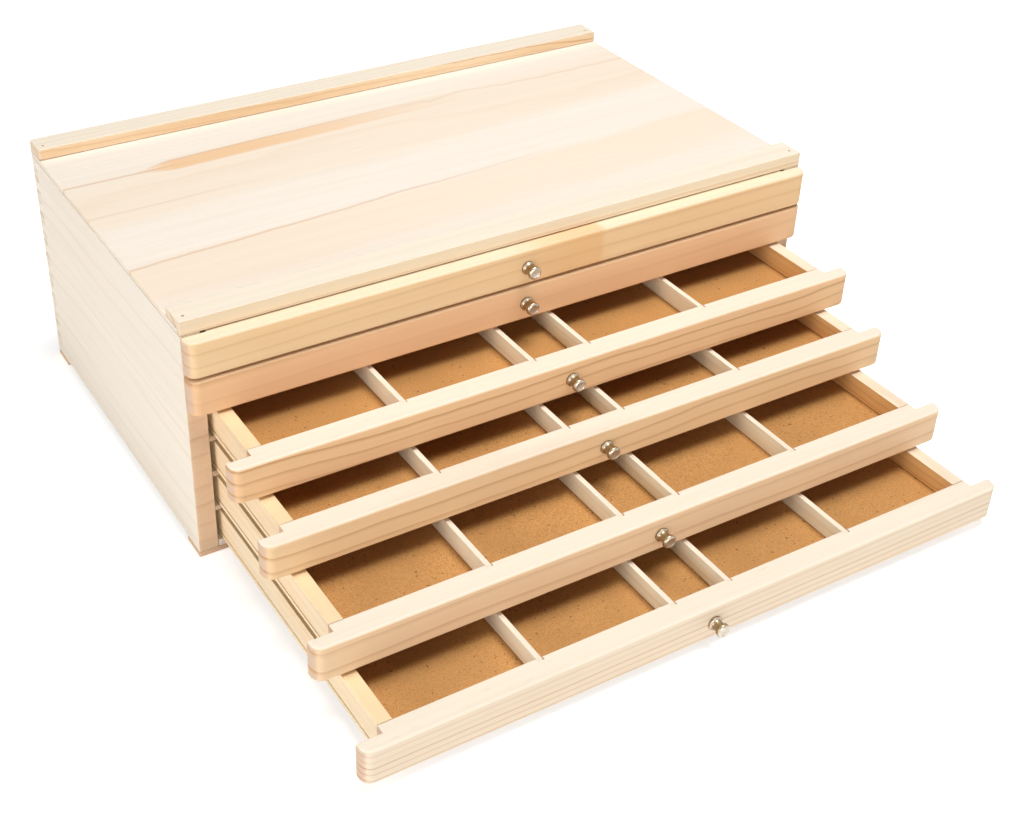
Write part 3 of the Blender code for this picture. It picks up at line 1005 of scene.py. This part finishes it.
class BOX_OT_dividers(Operator):
    """Model the thin dividers that stand in the notches of the walls"""

    bl_idname = "box.dividers"
    bl_label = "Dividers"

    def execute(self, context):
        sizes = context.scene.box_sizes
        low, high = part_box("drawer_1_divider_frame")
        front_y = low.y + sizes.wall_thickness - sizes.notch_depth
        back_y = high.y - sizes.back_thickness + sizes.notch_depth
        floor_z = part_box("drawer_1_bottom")[1].z + sizes.joint_gap
        half = sizes.divider_thickness / 2
        pattern = add_block(
            "divider", (-half, front_y, floor_z), (half, back_y, high.z - sizes.divider_drop))
        ease_edges(pattern, 0.6)
        finish = pine_finish(
            "divider_pine", "Y", (0.02, -0.10), Pale=(0.97, 0.94, 0.78),
            Warm=(0.96, 0.89, 0.68), Ring_Gap=0.008, Ring_Strength=0.20, Mottling=0.7,
            Top_Sanding=1.0, Seed=70.0)
        for letter, offset in zip("abcd", divider_offsets()):
            piece = copy_of(pattern, "drawer_1_divider_" + letter, (offset, 0.0, 0.0))
            seat_in_drawers(piece, "divider_" + letter, ["divider_frame"], finish)
        bpy.data.meshes.remove(pattern.data)
        return {"FINISHED"}


class BOX_OT_sheets(Operator):
    """Finish the frame's own hardboard sheets in the drawers"""

    bl_idname = "box.sheets"
    bl_label = "Hardboard Sheets"

    def execute(self, context):
        finish = hardboard_finish()
        for drawer in drawers:
            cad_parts[drawer + "_bottom"].material_slots[0].material = finish
        return {"FINISHED"}


class BOX_OT_knobs(Operator):
    """Turn the drawer knobs"""

    bl_idname = "box.knobs"
    bl_label = "Knobs"

    def execute(self, context):
        sizes = context.scene.box_sizes
        stud, stud_end = sizes.stud_radius, -sizes.stud_length
        # The head and the neck, in shares of the knob's radius and length
        turned = (
            (0.0, 0.975), (0.60, 0.975), (0.68, 1.0), (0.82, 0.985), (0.93, 0.94),
            (0.975, 0.87), (0.975, 0.76), (0.93, 0.69), (0.82, 0.64), (0.76, 0.60),
            (0.735, 0.54), (0.73, 0.42), (0.745, 0.30), (0.79, 0.21), (0.89, 0.155),
            (0.97, 0.125), (1.0, 0.10), (1.0, 0.0))
        outline = [
            (sizes.knob_radius * radius, sizes.knob_length * height) for radius, height in turned]
        outline += [(stud, 0.0), (stud, stud_end), (0.0, stud_end)]
        low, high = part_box("drawer_1_knob")
        knob = add_turned(
            "drawer_1_turned_knob", outline,
            (0.0, low.y + sizes.knob_length, (low.z + high.z) / 2))
        smooth_rounds(knob, 40.0)
        finish = metal_finish("knob_metal", context.scene.box_colours.nickel, 0.20, 7.0)
        seat_in_drawers(knob, "turned_knob", ["knob"], finish, "knob_nickel")
        return {"FINISHED"}


class BOX_OT_stage(Operator):
    """Set up the floor, the lamps, the even light and the camera"""

    bl_idname = "box.stage"
    bl_label = "Stage"

    def execute(self, context):
        stage = context.scene.stage_settings
        floor = add_new(bpy.ops.mesh.primitive_plane_add, "floor", size=stage.floor_width)
        floor.data.materials.append(floor_finish())
        context.scene.world = even_light()

        middle = Vector((0.0, 0.0, 0.07))
        for name, watts, width, place, tint in (
                ("key_lamp", stage.key, 0.8, (0.25, -0.2, 1.8), (1.0, 0.995, 0.98)),
                ("side_lamp", stage.side, 1.1, (-1.9, -0.2, 0.30), (1.0, 1.0, 1.0)),
                ("fill_lamp", stage.fill, 1.3, (-0.4, -2.3, 0.25), (1.0, 0.985, 0.96))):
            lamp = add_new(bpy.ops.object.light_add, name, type="AREA", location=place)
            lamp.data.energy = watts
            lamp.data.size = width
            lamp.data.color = tint
            lamp.rotation_euler = (middle - Vector(place)).to_track_quat("-Z", "Y").to_euler()

        place = (-0.4176, -0.63858, 0.55509)
        heading, tilt, roll = [math.radians(angle) for angle in (-31.03, 56.78, 1.08)]
        camera = add_new(bpy.ops.object.camera_add, "camera")
        camera.data.lens = stage.lens
        camera.data.shift_x, camera.data.shift_y = 0.0605, -0.0493
        camera.data.clip_start = 0.02
        camera.matrix_world = (
            Matrix.Translation(place) @ Matrix.Rotation(heading, 4, "Z")
            @ Matrix.Rotation(tilt, 4, "X") @ Matrix.Rotation(roll, 4, "Z"))
        context.scene.camera = camera
        context.scene.view_settings.view_transform = "Standard"
        return {"FINISHED"}


def seen_directly(tree):
    """1 for what the camera sees itself, or in metal or glass, and 0 for light that is cast."""
    path = outputs_of(tree, put(tree, "LightPath"))
    seen = path["Is Camera Ray"] + path["Is Glossy Ray"]
    return seen.maths("ADD", path["Is Transmission Ray"], clamp=True)


def floor_finish():
    """A pale floor that looks white where no shadow falls."""
    stage = bpy.context.scene.stage_settings
    material, tree, shader, places = new_finish("pale_floor")
    feed(tree, shader, {
        "Base Color": stage.floor, "Roughness": 0.9, "Specular IOR Level": 0.0})
    dim = places["Object"].vector_maths("LENGTH").fade(stage.lit_reach, stage.lit_reach * 3)
    white = dim * (stage.far_glow - stage.floor_glow) + stage.floor_glow
    glow = put(tree, "Emission", {"Strength": seen_directly(tree) * white})
    total = put(tree, "AddShader", {0: shader.outputs[0], 1: glow.outputs[0]})
    feed(tree, tree.nodes["Material Output"], {"Surface": total.outputs[0]})
    return material


def even_light():
    """A world that casts a soft even light and looks white."""
    stage = bpy.context.scene.stage_settings
    world = bpy.data.worlds.new("even_light")
    world.use_nodes = True
    tree = world.node_tree
    tree.nodes.clear()
    cast, white = [
        put(tree, "Background", {"Color": tint, "Strength": strength}).outputs[0]
        for tint, strength in (((1.0, 0.985, 0.96), stage.sky), ((1.0, 1.0, 1.0), 1.0))]
    mixed = put(tree, "MixShader", {0: seen_directly(tree), 1: cast, 2: white})
    put(tree, "OutputWorld", {"Surface": mixed.outputs[0]})
    return world


class BOX_PT_sidebar(Panel):
    """Lists the pieces and their settings"""

    bl_label = "Brush Storage Box"
    bl_idname = "BOX_PT_sidebar"
    bl_space_type = "VIEW_3D"
    bl_region_type = "UI"
    bl_category = "Brush Box"

    def draw(self, context):
        column = self.layout.column()
        for operator in operators:
            column.operator(operator.bl_idname)
        for group, kind in setting_groups.items():
            for name in kind.__annotations__:
                column.prop(getattr(context.scene, group), name)


operators = (
    BOX_OT_side_panels, BOX_OT_back_panel, BOX_OT_top_board, BOX_OT_rails,
    BOX_OT_carcass_details, BOX_OT_drawer_fronts, BOX_OT_drawer_sides, BOX_OT_drawer_backs,
    BOX_OT_dividers, BOX_OT_sheets, BOX_OT_knobs, BOX_OT_stage)
setting_groups = {
    "box_sizes": BoxSizes, "box_colours": BoxColours, "stage_settings": StageSettings}
classes = (*setting_groups.values(), *operators, BOX_PT_sidebar)


def register():
    """Make the settings, the operators and the panel known."""
    for item in classes:
        bpy.utils.register_class(item)
    for group, kind in setting_groups.items():
        setattr(bpy.types.Scene, group, PointerProperty(type=kind))


def unregister():
    """Take them back out."""
    for group in setting_groups:
        delattr(bpy.types.Scene, group)
    for item in reversed(classes):
        bpy.utils.unregister_class(item)


def main():
    """Dress the frame."""
    register()
    build_groups()
    bpy.ops.box.side_panels()
    bpy.ops.box.back_panel()
    bpy.ops.box.top_board()
    bpy.ops.box.rails()
    bpy.ops.box.carcass_details()
    bpy.ops.box.drawer_fronts()
    bpy.ops.box.drawer_sides()
    bpy.ops.box.drawer_backs()
    bpy.ops.box.dividers()
    bpy.ops.box.sheets()
    bpy.ops.box.knobs()
    bpy.ops.box.stage()


if __name__ == "__main__":
    main()
